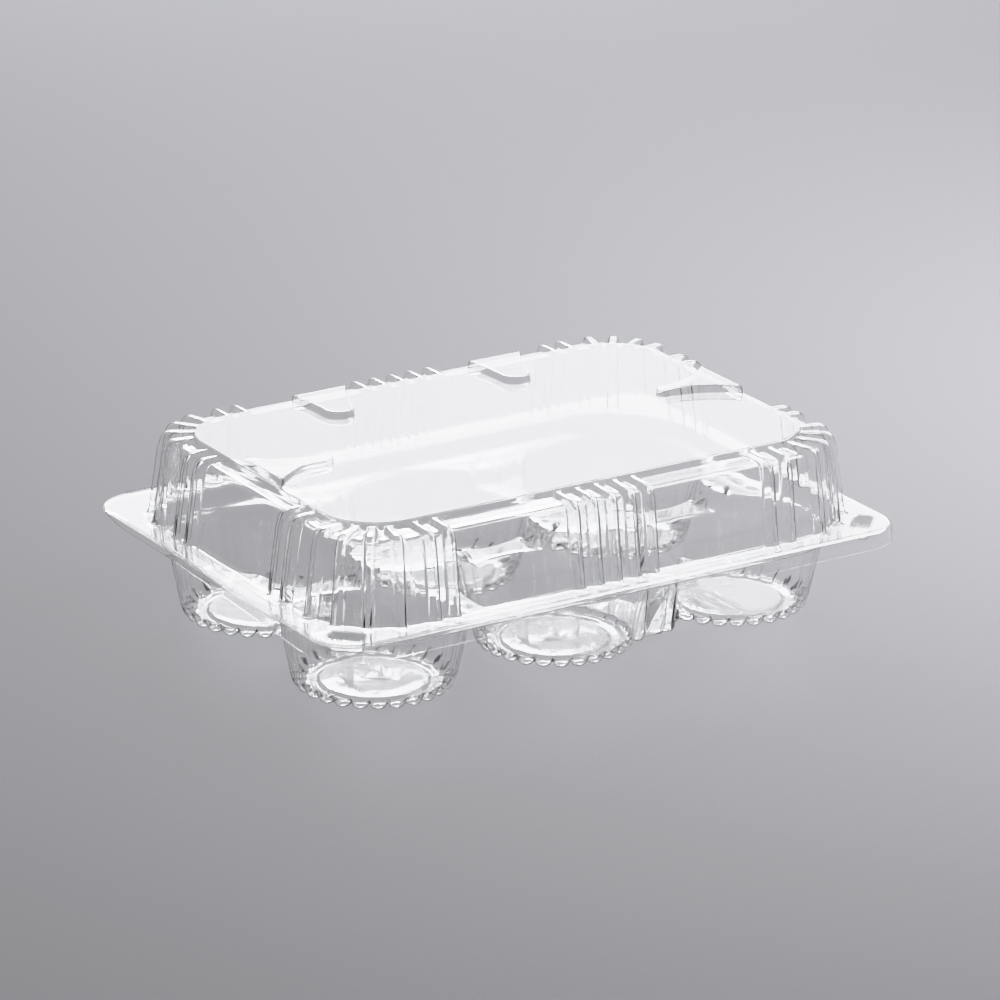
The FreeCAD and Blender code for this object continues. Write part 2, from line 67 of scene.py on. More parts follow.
# Sizes that the frame holds.  Everything is in metres.
panelHalf, panelTop = high("top_panel")[:2], high("top_panel")[2]
ledgeHalf, ledgeTop = high("shoulder_ledge")[:2], high("shoulder_ledge")[2]
flangeTop, flangeHalf = high("lid_flange")[2], -low("lid_flange")[:2]
hingeY = high("lid_flange")[1]
domeHalf = -np.array([low("dome_side_left")[0], low("dome_side_front")[1]])
domeCorner = domeHalf[0] - high("dome_side_front")[0]
ribRiseHeight = high("ribs_front_middle")[2]
baseTop, baseHalf = high("base_flange")[2], -low("base_flange")[:2]
deckTop, saddleTop = high("post_centre_left")[2], high("saddle_left")[2]
cupPitch = np.array([middle("saddle_right")[0], 2 * middle("saddle_back_left")[1]])
mouthRadius = high("cup_back_right")[0] - cupPitch[0]
notchAlong = (high("saddle_front_left")[1] - low("saddle_front_left")[1]) / 2
notchAcross = (high("saddle_middle")[0] - low("saddle_middle")[0]) / 2
lean = (domeHalf[0] - ledgeHalf[0]) / (ledgeTop - flangeTop)  # dome wall, run over rise

# The formed sheet: a crease is an angle that stays sharp, and haze is the roughness of its gloss.
sheetStyle = dict(
    thick=0.24 * mm, crease=math.radians(55), weld=0.002 * mm,
    tint="#ffffff", foldTint="#fafafa", shadeTint="#fefefe", ior=1.57,
    haze=0.03, foldHaze=0.09, hazeSpread=(0.6, 1.6), hazeEdges=(0.35, 0.7), hazeSize=2.2 * mm,
    lidRipple=0.12, baseRipple=0.08, foldRipple=0.3, rippleSize=18 * mm, rippleHeight=0.25 * mm,
)
floorStyle = dict(dark="#c3c3c8", light="#c9c9ce", grain=900.0, roughness=0.75, specular=0.25)
cornerSteps = 22  # points round a quarter turn


# Linear colour of an sRGB hex code.
def srgb(code):
    parts = [int(code[i:i + 2], 16) / 255 for i in (1, 3, 5)]
    return tuple(c / 12.92 if c <= 0.04045 else ((c + 0.055) / 1.055) ** 2.4 for c in parts) + (1,)


def addNode(tree, kind, inputs=None, **settings):
    node = tree.nodes.new(kind)
    for name, value in settings.items():
        setattr(node, name, value)
    for key, value in (inputs or {}).items():
        if isinstance(value, bpy.types.NodeSocket):
            tree.links.new(value, node.inputs[key])
        else:
            node.inputs[key].default_value = value
    return node


def newMaterial(name):
    material = bpy.data.materials.new(name)
    material.use_nodes = True
    material.node_tree.nodes.clear()
    return material, material.node_tree


# PET sheet, vacuum formed: glass clear, hard gloss, faint ripples where it was drawn.
def clearPet(style, name, tint, haze, ripple):
    material, tree = newMaterial(name)
    (start, stop), (least, most) = style["hazeEdges"], style["hazeSpread"]
    place = addNode(tree, "ShaderNodeTexCoord").outputs["Object"]
    broad = addNode(tree, "ShaderNodeTexNoise", {
        "Vector": place, "Scale": 1 / style["rippleSize"], "Detail": 2})
    fine = addNode(tree, "ShaderNodeTexNoise", {
        "Vector": place, "Scale": 1 / style["hazeSize"], "Detail": 3})
    rough = addNode(tree, "ShaderNodeMapRange", {
        "Value": fine.outputs["Fac"], "From Min": start, "From Max": stop,
        "To Min": haze * least, "To Max": haze * most})
    bump = addNode(tree, "ShaderNodeBump", {
        "Height": broad.outputs["Fac"], "Strength": ripple, "Distance": style["rippleHeight"]})
    shader = addNode(tree, "ShaderNodeBsdfPrincipled", {
        "Base Color": srgb(tint), "Roughness": rough.outputs["Result"], "IOR": style["ior"],
        "Transmission Weight": 1.0, "Normal": bump.outputs["Normal"]})
    # lamps and the light between surfaces pass straight through, so the shade under it stays faint
    clear = addNode(tree, "ShaderNodeBsdfTransparent", {"Color": srgb(style["shadeTint"])})
    path = addNode(tree, "ShaderNodeLightPath")
    mix = addNode(tree, "ShaderNodeMixShader", {
        0: path.outputs["Is Shadow Ray"], 1: shader.outputs[0], 2: clear.outputs[0]})
    soft = addNode(tree, "ShaderNodeMixShader", {
        0: path.outputs["Is Diffuse Ray"], 1: mix.outputs[0], 2: clear.outputs[0]})
    addNode(tree, "ShaderNodeOutputMaterial", {"Surface": soft.outputs[0]})
    return material


# Painted board, matt, with a barely uneven roller finish.
def studioFloor(style):
    material, tree = newMaterial("paintedBoard")
    place = addNode(tree, "ShaderNodeTexCoord").outputs["Object"]
    grain = addNode(tree, "ShaderNodeTexNoise", {
        "Vector": place, "Scale": style["grain"], "Detail": 2})
    colour = addNode(tree, "ShaderNodeMix", {
        0: grain.outputs["Fac"], 6: srgb(style["dark"]), 7: srgb(style["light"])}, data_type="RGBA")
    shader = addNode(tree, "ShaderNodeBsdfPrincipled", {
        "Base Color": colour.outputs[2], "Roughness": style["roughness"],
        "Specular IOR Level": style["specular"]})
    addNode(tree, "ShaderNodeOutputMaterial", {"Surface": shader.outputs[0]})
    return material


pet = sheetStyle
petLid = clearPet(pet, "petSheetLid", pet["tint"], pet["haze"], pet["lidRipple"])
petBase = clearPet(pet, "petSheetBase", pet["tint"], pet["haze"], pet["baseRipple"])
petFold = clearPet(pet, "petSheetFold", pet["foldTint"], pet["foldHaze"], pet["foldRipple"])
print("materials ready")


# Points and outward normals round a rounded rectangle, anticlockwise from the front left.
def roundedLoop(halfX, front, back, radius, grow=0.0, spacing=6 * mm):
    points, normals = [], []
    corners = ((halfX - radius, radius - front, -1), (halfX - radius, back - radius, 0),
               (radius - halfX, back - radius, 1), (radius - halfX, radius - front, 2))
    for number, (cx, cy, quarter) in enumerate(corners):
        for i in range(cornerSteps + 1):
            a = i * math.pi / 2 / cornerSteps + quarter * math.pi / 2
            points.append((cx + radius * math.cos(a), cy + radius * math.sin(a)))
            normals.append((math.cos(a), math.sin(a)))
        nextX, nextY, quarter = corners[(number + 1) % 4]
        a = quarter * math.pi / 2
        start = np.array(points[-1])
        end = np.array([nextX + radius * math.cos(a), nextY + radius * math.sin(a)])
        count = int(np.linalg.norm(end - start) / spacing)
        for i in range(1, count):
            points.append(tuple(start + (end - start) * i / count))
            normals.append(normals[-1])
    normals = np.array(normals)
    return np.array(points) + normals * grow, normals


# Signed distance of plan points from a centred rounded rectangle, negative inside.
def outlineGap(points, half, radius):
    q = np.abs(points) - half + radius
    outside = np.linalg.norm(np.maximum(q, 0), axis=1)
    return outside + np.minimum(q.max(axis=1), 0) - radius


# Where rays from the points, along their normals, meet a rounded rectangle, found by halving.
def reachOutline(points, normals, half, radius, span=60 * mm, halvings=40):
    near, far = np.full(len(points), -span), np.full(len(points), span)
    for _ in range(halvings):
        guess = (near + far) / 2
        inside = outlineGap(points + normals * guess[:, None], half, radius) < 0
        near, far = np.where(inside, guess, near), np.where(inside, far, guess)
    return points + normals * guess[:, None]


def startTree(name, sockets):
    tree = bpy.data.node_groups.new(name, "GeometryNodeTree")
    tree.interface.new_socket("Geometry", in_out="INPUT", socket_type="NodeSocketGeometry")
    for label, kind in sockets:
        tree.interface.new_socket(label, in_out="INPUT", socket_type="NodeSocket" + kind)
    tree.interface.new_socket("Geometry", in_out="OUTPUT", socket_type="NodeSocketGeometry")
    return tree, addNode(tree, "NodeGroupInput").outputs


# Moves the points by the offset, then ends the tree in plain geometry with a material.
def closeTree(tree, given, offset):
    moved = addNode(tree, "GeometryNodeSetPosition", {
        "Geometry": given["Geometry"], "Offset": offset})
    real = addNode(tree, "GeometryNodeRealizeInstances", {"Geometry": moved.outputs[0]})
    dressed = addNode(tree, "GeometryNodeSetMaterial", {
        "Geometry": real.outputs[0], "Material": given["Material"]})
    addNode(tree, "NodeGroupOutput", {"Geometry": dressed.outputs[0]})
    return tree


def compute(tree, operation, *values):
    return addNode(tree, "ShaderNodeMath", dict(enumerate(values)), operation=operation).outputs[0]


# The vector that each point carries, times a number.
def scaledSwell(tree, factor):
    swell = addNode(tree, "GeometryNodeInputNamedAttribute", {"Name": "swell"},
                    data_type="FLOAT_VECTOR")
    return addNode(tree, "ShaderNodeVectorMath", {0: swell.outputs[0], "Scale": factor},
                   operation="SCALE").outputs[0]


def planPosition(tree):
    place = addNode(tree, "GeometryNodeInputPosition").outputs[0]
    return addNode(tree, "ShaderNodeVectorMath", {0: place, 1: (1, 1, 0)},
                   operation="MULTIPLY").outputs[0]


# Raises a wall into ribs wherever it passes near one of the rib lines drawn in plan.
def ribTree():
    tree, given = startTree("raiseRibs", [
        ("Rib lines", "Object"), ("Rib width", "Float"), ("Side slope", "Float"),
        ("Material", "Material")])
    lines = addNode(tree, "GeometryNodeObjectInfo", {"Object": given["Rib lines"]})
    near = addNode(tree, "GeometryNodeProximity", {
        0: lines.outputs["Geometry"], "Sample Position": planPosition(tree)},
        target_element="EDGES")
    half = compute(tree, "MULTIPLY", given["Rib width"], 0.5)
    top = compute(tree, "SUBTRACT", half, given["Side slope"])
    rise = addNode(tree, "ShaderNodeMapRange", {
        "Value": near.outputs["Distance"], "From Min": top, "From Max": half,
        "To Min": 1.0, "To Max": 0.0}, interpolation_type="SMOOTHSTEP")
    return closeTree(tree, given, scaledSwell(tree, rise.outputs["Result"]))


# Folds each cup's wall and foot into flutes, counted round the nearest cup centre.
def fluteTree():
    tree, given = startTree("fluteCups", [
        ("Cup centres", "Object"), ("Flutes", "Float"), ("Roundness", "Float"),
        ("Material", "Material")])
    centres = addNode(tree, "GeometryNodeObjectInfo", {"Object": given["Cup centres"]})
    plan = planPosition(tree)
    near = addNode(tree, "GeometryNodeProximity", {
        0: centres.outputs["Geometry"], "Sample Position": plan}, target_element="POINTS")
    arm = addNode(tree, "ShaderNodeVectorMath", {0: plan, 1: near.outputs["Position"]},
                  operation="SUBTRACT")
    parts = addNode(tree, "ShaderNodeSeparateXYZ", {0: arm.outputs[0]})
    angle = compute(tree, "ARCTAN2", parts.outputs["Y"], parts.outputs["X"])
    turns = compute(tree, "MULTIPLY", angle, given["Flutes"])
    wave = compute(tree, "SINE", compute(tree, "MULTIPLY", turns, 0.5))
    lobe = compute(tree, "POWER", compute(tree, "ABSOLUTE", wave), given["Roundness"])
    return closeTree(tree, given, scaledSwell(tree, compute(tree, "SUBTRACT", 1.0, lobe)))


def plainObject(name, points, edges=(), faces=()):
    mesh = bpy.data.meshes.new(name)
    mesh.from_pydata([tuple(map(float, p)) for p in points], list(edges), list(faces))
    item = bpy.data.objects.new(name, mesh)
    bpy.context.scene.collection.objects.link(item)
    return item


# Runs a tree on loose points that carry a swell attribute, and gives the moved points.
def runTree(tree, points, swell, values):
    item = plainObject(tree.name, points)
    attribute = item.data.attributes.new("swell", "FLOAT_VECTOR", "POINT")
    attribute.data.foreach_set("vector", np.asarray(swell, dtype=np.float32).ravel())
    modifier = item.modifiers.new(tree.name, "NODES")
    modifier.node_group = tree
    for socket in tree.interface.items_tree:
        if socket.in_out == "INPUT" and socket.name in values:
            modifier[socket.identifier] = values[socket.name]
    depsgraph = bpy.context.evaluated_depsgraph_get()
    solved = bpy.data.meshes.new_from_object(item.evaluated_get(depsgraph))
    moved = np.empty(len(solved.vertices) * 3, dtype=np.float32)
    solved.vertices.foreach_get("co", moved)
    bpy.data.objects.remove(item)
    return moved.reshape(-1, 3).astype(float)


# A sheet skin is one surface of the formed sheet; thicken() makes a closed shell of it.
class sheetSkin:
    def __init__(self):
        self.points, self.faces, self.flat = [], [], []

    def add(self, points):
        start = sum(len(block) for block in self.points)
        self.points.append(np.asarray(points, dtype=float).reshape(-1, 3))
        return np.arange(start, start + len(self.points[-1]))

    def face(self, corners, flat=False):
        self.faces.append(tuple(int(c) for c in corners))
        self.flat.append(flat)

    # quads between two closed loops of as many points, the first inside the second
    def bridge(self, inner, outer, flat=False):
        for i in range(len(inner)):
            j = (i + 1) % len(inner)
            self.face((inner[i], outer[i], outer[j], inner[j]), flat)

    # a closed band from rows of points, from the inside out; gives the rows' numbers
    def rows(self, grid):
        grid = np.asarray(grid)
        numbers = self.add(grid).reshape(grid.shape[:2])
        for inner, outer in zip(numbers, numbers[1:]):
            self.bridge(inner, outer)
        return numbers

    # flat faces inside an anticlockwise loop of points, round the holes
    def fill(self, outline, holes=()):
        everything = np.concatenate([outline] + list(holes))
        plan = self.all()[everything][:, :2]
        edges, start = [], 0
        for loop in [outline] + list(holes):
            count = len(loop)
            edges += [(start + i, start + (i + 1) % count) for i in range(count)]
            start += count
        scaled = [Vector(p) for p in plan / mm]
        points, _, triangles, origins = delaunay_2d_cdt(scaled, edges, [], 1, 1e-6)[:4]
        rims = [self.all()[hole][:, :2] / mm for hole in holes]
        for triangle in triangles:
            centre = sum((points[i] for i in triangle), Vector((0, 0))) / 3
            if any(inLoop(centre, rim) for rim in rims):
                continue
            corners = [everything[origins[i][0]] for i in triangle]
            a, b, c = (points[i] for i in triangle)
            if (b - a).cross(c - a) < 0:
                corners.reverse()
            self.face(corners, True)

    def all(self):
        return np.concatenate(self.points)


# True if a plan point lies inside a closed loop.
def inLoop(point, loop):
    a, b = loop, np.roll(loop, -1, axis=0)
    crossed = (a[:, 1] > point.y) != (b[:, 1] > point.y)
    a, b = a[crossed], b[crossed]
    reach = (b[:, 0] - a[:, 0]) * (point.y - a[:, 1]) / (b[:, 1] - a[:, 1]) + a[:, 0]
    return np.count_nonzero(point.x < reach) % 2 == 1


# Gives the sheet its gauge on the side away from the normals, as one closed shell.
def thicken(name, skin, thick, material):
    points = skin.all()
    keys = np.round(points / sheetStyle["weld"]).astype(np.int64)
    _, first, same = np.unique(keys, axis=0, return_index=True, return_inverse=True)
    same = np.asarray(same).ravel()
    points = points[first]
    faces, flats = [], []
    for face, flat in zip(skin.faces, skin.flat):
        corners = [int(same[c]) for c in face]
        corners = [c for i, c in enumerate(corners) if c != corners[i - 1]]
        if len(corners) > 2:
            faces.append(corners)
            flats.append(flat)
    normals = np.zeros_like(points)
    for face in faces:
        ring = points[face]
        normal = np.zeros(3)
        for i in range(1, len(face) - 1):
            normal += np.cross(ring[i] - ring[0], ring[i + 1] - ring[0])
        size = np.linalg.norm(normal)
        if size == 0:
            continue
        normal /= size
        for i, corner in enumerate(face):
            a, b = ring[i - 1] - ring[i], ring[(i + 1) % len(face)] - ring[i]
            lengths = np.linalg.norm(a) * np.linalg.norm(b)
            normals[corner] += normal * math.acos(max(-1, min(1, a @ b / lengths)))
    normals /= np.maximum(np.linalg.norm(normals, axis=1), 1e-9)[:, None]
    count = len(points)
    shell = faces + [[c + count for c in reversed(face)] for face in faces]
    edges = {(a, b) for face in faces for a, b in zip(face, face[1:] + face[:1])}
    rims = [(a, b) for a, b in sorted(edges) if (b, a) not in edges]
    shell += [[b, a, a + count, b + count] for a, b in rims]
    item = plainObject(name, np.concatenate([points, points - normals * thick]), faces=shell)
    item.data.set_sharp_from_angle(angle=sheetStyle["crease"])
    smooth = [not flat for flat in flats] * 2 + [False] * len(rims)
    item.data.polygons.foreach_set("use_smooth", smooth)
    item.data.materials.append(material)
    return item


# Profiles are rows of numbers in mm, each row out from the one before.
lidStyle = dict(
    panelCorner=22.7 * mm,
    panelRim=((-0.7, 0), (-0.25, 0.12), (0, 0.5)),              # out, down from the panel
    stepMiddle=(0.15, 1.5, 0.1, 0.05),                          # the same, of wall and of rib
    stepFoot=((0.35, 0.4, 0.5), (0.8, 0.06, 1.2), (1.6, 0, 2.2)),  # out, up, out of the rib
    shoulderBend=2.5 * mm, bendDegrees=(22, 44, 63, 80),
    wallTop=4.5 * mm, wallFoot=1.6 * mm, wallShares=(0, 0.33, 0.66, 1.0),
    domeFoot=((0.3, 0.55), (0.8, 0.12), (1.5, 0.0), (2.4, 0.0)),  # out, up from the flange
    ribDepth=3.5 * mm, ribWidth=5.0 * mm, ribSlope=1.5 * mm, ribBend=4.0 * mm, ribPitch=8.1 * mm,
    ribStops=(0, 0.35, 0.62, 0.82, 1.0, 1.25), ribLineEnds=(18, 12),
    ribsFromMiddle=3, ribsBesideCorner=2, longOffset=5.5 * mm, shortOffset=11 * mm,
    fanFirst=math.radians(10), fanStep=math.radians(21.5), fanCount=4,
    straightSpacing=5 * mm, curvedSpacing=1.6 * mm, curveMargin=1 * mm,
    flangeCorner=16.6 * mm, skirtDepth=6.6 * mm, skirtFull=20 * mm, skirtEnd=13 * mm,
    skirtShares=(0.4, 0.75, 1.0), skirtGap=0.02 * mm, lipDepth=2.4 * mm, lipFade=12,
    lipRoll=((2.6, 0), (1.6, 0.15), (0.8, 0.6), (0.25, 1.3), (0.0, 2.4)),  # in, down
    lugHeight=3.0 * mm, lugInset=1.1 * mm, lugSteps=dict(side=12, nose=13, base=9),
    # in, and the share of the height
    lugWall=((0.0, 0.0), (0.1, 0.04), (0.2, 0.3), (0.3, 0.7), (0.45, 0.9), (0.7, 0.98), (1.1, 1.0)),
    backLug=dict(tip=6.5 * mm, bow=90 * mm, shift=3.5 * mm),
    endLug=dict(tip=2.8 * mm, bow=40 * mm, shift=0),
    buttonInset=13 * mm, buttonHalf=(6.5 * mm, 3.5 * mm), buttonDepth=3.5 * mm,
    buttonCorner=2.2 * mm, buttonSpacing=3 * mm,
    buttonRim=((0.35, 0.0), (0.0, 0.15), (-0.25, 0.6)),         # out, down
    buttonFoot=((-0.7, 0.85), (-1.0, 0.97), (-1.5, 1.0)),       # out, share of the depth
)


# Plan point and outward direction of each rib in the front right quarter.
def ribPlaces(style):
    centre = domeHalf - domeCorner
    places = []
    for i in range(style["ribsFromMiddle"]):
        places.append(((i * style["ribPitch"], -domeHalf[1]), -math.pi / 2))
    for i in range(style["ribsBesideCorner"]):
        x = centre[0] - style["longOffset"] - i * style["ribPitch"]
        y = style["shortOffset"] + i * style["ribPitch"] - centre[1]
        places.append(((x, -domeHalf[1]), -math.pi / 2))
        places.append(((domeHalf[0], y), 0.0))
    for i in range(style["fanCount"]):
        angle = -(style["fanFirst"] + i * style["fanStep"])
        places.append(((centre[0] + domeCorner * math.cos(angle),
                        domeCorner * math.sin(angle) - centre[1]), angle))
    return places


# Points and outward normals round the dome's foot, closer together at the ribs.
def wallStations(style):
    centre = domeHalf - domeCorner
    bend = domeCorner * math.pi / 2
    total = centre[0] + bend + centre[1]
    marks = []
    for (x, y), angle in ribPlaces(style):
        if angle == -math.pi / 2:
            marks.append(x)
        elif angle == 0:
            marks.append(total + y)
        else:
            marks.append(centre[0] + bend + angle * domeCorner)
    near = np.array(style["ribStops"]) * style["ribWidth"] / 2
    stops = {0.0, total}
    for mark in marks:
        stops |= {round(mark + sign * gap, 7) for gap in near for sign in (-1, 1)}
    stops = sorted(s for s in stops if 0 <= s <= total)
    lengths = [stops[0]]
    for stop in stops[1:]:
        start, margin = lengths[-1], style["curveMargin"]
        curved = centre[0] - margin < stop < centre[0] + bend + margin
        spacing = style["curvedSpacing" if curved else "straightSpacing"]
        count = max(1, math.ceil((stop - start) / spacing))
        lengths += [start + (stop - start) * i / count for i in range(1, count + 1)]
    quarter = []
    for s in lengths:
        if s <= centre[0]:
            quarter.append((s, -domeHalf[1], 0, -1))
        elif s < centre[0] + bend:
            a = (s - centre[0]) / domeCorner - math.pi / 2
            quarter.append((centre[0] + domeCorner * math.cos(a),
                            domeCorner * math.sin(a) - centre[1], math.cos(a), math.sin(a)))
        else:
            quarter.append((domeHalf[0], s - total, 1, 0))
    quarter = np.array(quarter)
    flipY, flipX = np.array([1, -1, 1, -1]), np.array([-1, 1, -1, 1])
    loop = np.concatenate([quarter[:-1], quarter[:0:-1] * flipY, quarter[:-1] * flipX * flipY,
                           quarter[:0:-1] * flipX])
    return loop[:, :2], loop[:, 2:]


# A straight line in plan across the wall for each rib.
def ribLines(style):
    points, edges = [], []
    inward, outward = style["ribLineEnds"]
    for (x, y), angle in ribPlaces(style):
        for signX in (1, -1):
            for signY in (1, -1):
                out = np.array([math.cos(angle), math.sin(angle)])
                start = np.array([x, y]) - out * inward * mm
                end = np.array([x, y]) + out * outward * mm
                for p in (start, end):
                    points.append((p[0] * signX, p[1] * signY, 0))
                edges.append((len(points) - 2, len(points) - 1))
    return plainObject("ribLines", points, edges)


# Rows of the plain dome from the panel's edge out to the flange, and of a rib's crest.
def domeRows(style):
    points, normals = wallStations(style)

    def dome(z, grow):
        shift = grow - lean * (z - flangeTop)
        return domeHalf + shift, domeCorner + shift

    def panel(grow):
        return panelHalf + grow, style["panelCorner"] + grow

    def row(outline, z):
        plan = reachOutline(points, normals, *outline)
        return np.column_stack([plan, np.full(len(plan), z)])

    ribTop, depth = ribRiseHeight, style["ribDepth"]
    bend, crestBend = style["shoulderBend"], style["ribBend"]
    plain, crest = [], []

    def both(outlineA, zA, outlineB=None, zB=None):
        plain.append(row(outlineA, zA))
        crest.append(row(outlineB or outlineA, zA if zB is None else zB))

    for out, down in style["panelRim"]:
        both(panel(out * mm), panelTop - down * mm)
    out, down, crestOut, crestDown = style["stepMiddle"]
    both(panel(out * mm), panelTop - down * mm, panel(crestOut * mm), ribTop - crestDown * mm)
    for out, up, crestOut in style["stepFoot"]:
        both(panel(out * mm), ledgeTop + up * mm, panel(crestOut * mm), ribTop)
    near, nearRadius = panel(out * mm)
    edge, radius = dome(ledgeTop, -bend)
    crestEdge, crestRadius = dome(ribTop, depth - crestBend)
    for part in (0.5, 1.0):
        both((near + (edge - near) * part, nearRadius + (radius - nearRadius) * part), ledgeTop,
             (near + (crestEdge - near) * part, nearRadius + (crestRadius - nearRadius) * part),
             ribTop)
    for degrees in style["bendDegrees"]:
        a = math.radians(degrees)
        inward, fall = math.sin(a) - 1, 1 - math.cos(a)
        both(dome(ledgeTop, bend * inward), ledgeTop - bend * fall,
             dome(ribTop, depth + crestBend * inward), ribTop - crestBend * fall)
    top, foot = ledgeTop - style["wallTop"], flangeTop + style["wallFoot"]
    for part in style["wallShares"]:
        z = top + (foot - top) * part
        both(dome(z, 0), z, dome(z, depth), z)
    for grow, rise in style["domeFoot"]:
        z = flangeTop + rise * mm
        both(dome(flangeTop, grow * mm), z, dome(flangeTop, grow * mm + depth), z)
    return np.array(plain), np.array(crest)


def spinner(turn):
    return np.array([[math.cos(turn), -math.sin(turn)], [math.sin(turn), math.cos(turn)]])


# Outline of a stacking lug, base on the X axis and tip towards +Y, anticlockwise.
def lugLoop(shape, half, reach, shrink):
    half, tip, bow = half - shrink, shape["tip"] - shrink, shape["bow"] + shrink
    steps = lidStyle["lugSteps"]
    nose = np.array([shape["shift"], reach - shape["tip"]])
    sides = []
    for sign in (1, -1):
        corner, throat = np.array([sign * half, shrink]), nose + np.array([sign * tip, 0])
        chord = throat - corner
        away = np.array([chord[1], -chord[0]]) / np.linalg.norm(chord) * sign
        centre = (corner + throat) / 2 + away * math.sqrt(bow ** 2 - chord @ chord / 4)
        first, last = (math.atan2(*(p - centre)[::-1]) for p in (corner, throat))
        last = first + (last - first + math.pi) % (2 * math.pi) - math.pi
        sides.append([centre + bow * np.array([math.cos(a), math.sin(a)])
                      for a in np.linspace(first, last, steps["side"])])
    cap = [nose + tip * np.array([math.cos(a), math.sin(a)])
           for a in np.linspace(0, math.pi, steps["nose"])[1:-1]]
    base = [np.array([x, shrink]) for x in np.linspace(-half, half, steps["base"])[1:-1]]
    return np.array(sides[0] + cap + sides[1][::-1] + base)


# A small rounded rectangle set across a front corner, anticlockwise.
def snapLoop(style, grow, sign, centre):
    halfX, halfY = style["buttonHalf"]
    loop, _ = roundedLoop(halfX, halfY, halfY, style["buttonCorner"], grow, style["buttonSpacing"])
    return loop @ spinner(sign * math.pi / 4).T + centre


# Rows down into a snap pocket; gives its loop in the flange.
def snapPocket(skin, style, sign, top, depth, grow):
    centre = np.array([sign * (flangeHalf[0] - style["buttonInset"]),
                       style["buttonInset"] - flangeHalf[1]])
    rows = [*style["buttonRim"]]
    rows += [(out, share * depth / mm) for out, share in style["buttonFoot"]]
    grid = []
    for out, down in rows:
        loop = snapLoop(style, grow + out * mm, sign, centre)
        grid.append(np.column_stack([loop, np.full(len(loop), top - down * mm)]))
    numbers = skin.rows(np.array(grid[::-1]))
    skin.fill(numbers[0])
    return numbers[-1]


def makeLid(style):
    skin = sheetSkin()
    plain, crest = domeRows(style)
    lines = ribLines(style)
    dome = runTree(ribTree(), plain.reshape(-1, 3), (crest - plain).reshape(-1, 3), {
        "Rib lines": lines, "Rib width": style["ribWidth"], "Side slope": style["ribSlope"],
        "Material": petLid}).reshape(plain.shape)
    bpy.data.objects.remove(lines)
    domeRing = skin.rows(dome)

    # flange: flat, with a rolled edge and a lip that runs out towards the hinge
    loop, normals = roundedLoop(flangeHalf[0], flangeHalf[1], hingeY, style["flangeCorner"])
    full, gone = style["skirtFull"] - flangeHalf[1], hingeY - style["skirtEnd"]
    share = np.clip((gone - loop[:, 1]) / (gone - full), 0, 1)
    fade = np.clip(share * style["lipFade"], 0, 1)
    lip = style["lipDepth"] * fade
    edge = []
    for inset, drop in style["lipRoll"]:
        edge.append(np.column_stack([loop - normals * inset * mm, flangeTop - drop * mm * fade]))
    for part in style["skirtShares"]:
        depth = lip + np.maximum(share * style["skirtDepth"] - lip, 0) * part
        edge.append(np.column_stack([loop, flangeTop - depth - style["skirtGap"] * part]))
    edgeRing = skin.rows(np.array(edge))
    holes = [snapPocket(skin, style, sign, flangeTop, style["buttonDepth"], 0) for sign in (-1, 1)]
    skin.fill(edgeRing[0], [domeRing[-1]] + holes)

    # top panel with its stacking lugs
    loops = []
    for kind, side, turn in (("back", "left", math.pi), ("back", "right", math.pi),
                             ("end", "left", -math.pi / 2), ("end", "right", math.pi / 2)):
        node = f"stacking_lug_{kind}_{side}"
        size, centre = high(node) - low(node), middle(node)[:2].copy()
        inset = style["lugInset"]
        if kind == "back":
            half, reach = size[0] / 2, size[1]
            centre[1] = high(node)[1] - inset
        else:
            half, reach = size[1] / 2, size[0]
            centre[0] = math.copysign(panelHalf[0] - inset, centre[0])
        grid = []
        for shrink, rise in style["lugWall"]:
            outline = lugLoop(style[kind + "Lug"], half, reach - inset, shrink * mm)
            outline = outline @ spinner(turn).T + centre
            z = panelTop + style["lugHeight"] * rise
            grid.append(np.column_stack([outline, np.full(len(outline), z)]))
        numbers = skin.rows(np.array(grid[::-1]))
        skin.fill(numbers[0])
        loops.append(numbers[-1])
    skin.fill(domeRing[0], loops)
    return thicken("lidShell", skin, sheetStyle["thick"], petLid)


lid = makeLid(lidStyle)
print("lid formed:", len(lid.data.polygons), "faces")


baseStyle = dict(
    rays=182, footRadius=29.5 * mm,
    flutes=26.0, fluteRoundness=0.35, wallFlute=0.34, footFlute=1.2, fluteFade=2.2 * mm,
    mouthInside=1.6 * mm,          # cup wall inside the rim wall, at the deck
    lowWall=4 * mm, lowLean=1.2,   # a wall under this height has no flutes, and leans out by mm
    wallShares=(0.1, 0.15, 0.2, 0.3, 0.5, 0.75, 1.0), deckBend=2.2 * mm,
    # shares of the bend: out and down, then the flute's depth in mm
    mouthBend=((0.1, 0.6, 0.2), (0.35, 0.25, 0.1), (0.7, 0.06, 0), (1.15, 0, 0)),
    stepBend=((1.3, 0), (0.75, 0.12), (0.45, 0.45), (0.3, 1.0)),
    notchBlur=math.radians(4), edgeBlur=math.radians(2),
    channelTop=2.0 * mm, channelHalf=20.3 * mm, channelMid=(math.radians(26.4), math.radians(28.6)),
    channelEnd=math.radians(18.5), channelFoot=0.5 * mm, channelCurve=(3.1, 6.8),
    channelStep=1.5 * mm,
    # out, then up from the deck or down from the flange
    rimFoot=((0, 0), (0.5, 0.15), (0.8, 0.7), (1.2, 2.2)),
    rimTop=((2.0, 1.6), (2.3, 0.7), (2.9, 0.15), (3.7, 0), (4.5, 0)),
    flangeCorner=15.6 * mm, flangeRoll=((0.9, 0), (0.4, 0.06), (0.1, 0.25), (0.0, 0.6)),
    rollEnd=3 * mm, rollFade=6 * mm, socketDepth=4.2 * mm, socketGrow=0.6 * mm,
)
rimReach = mouthRadius - sheetStyle["thick"]
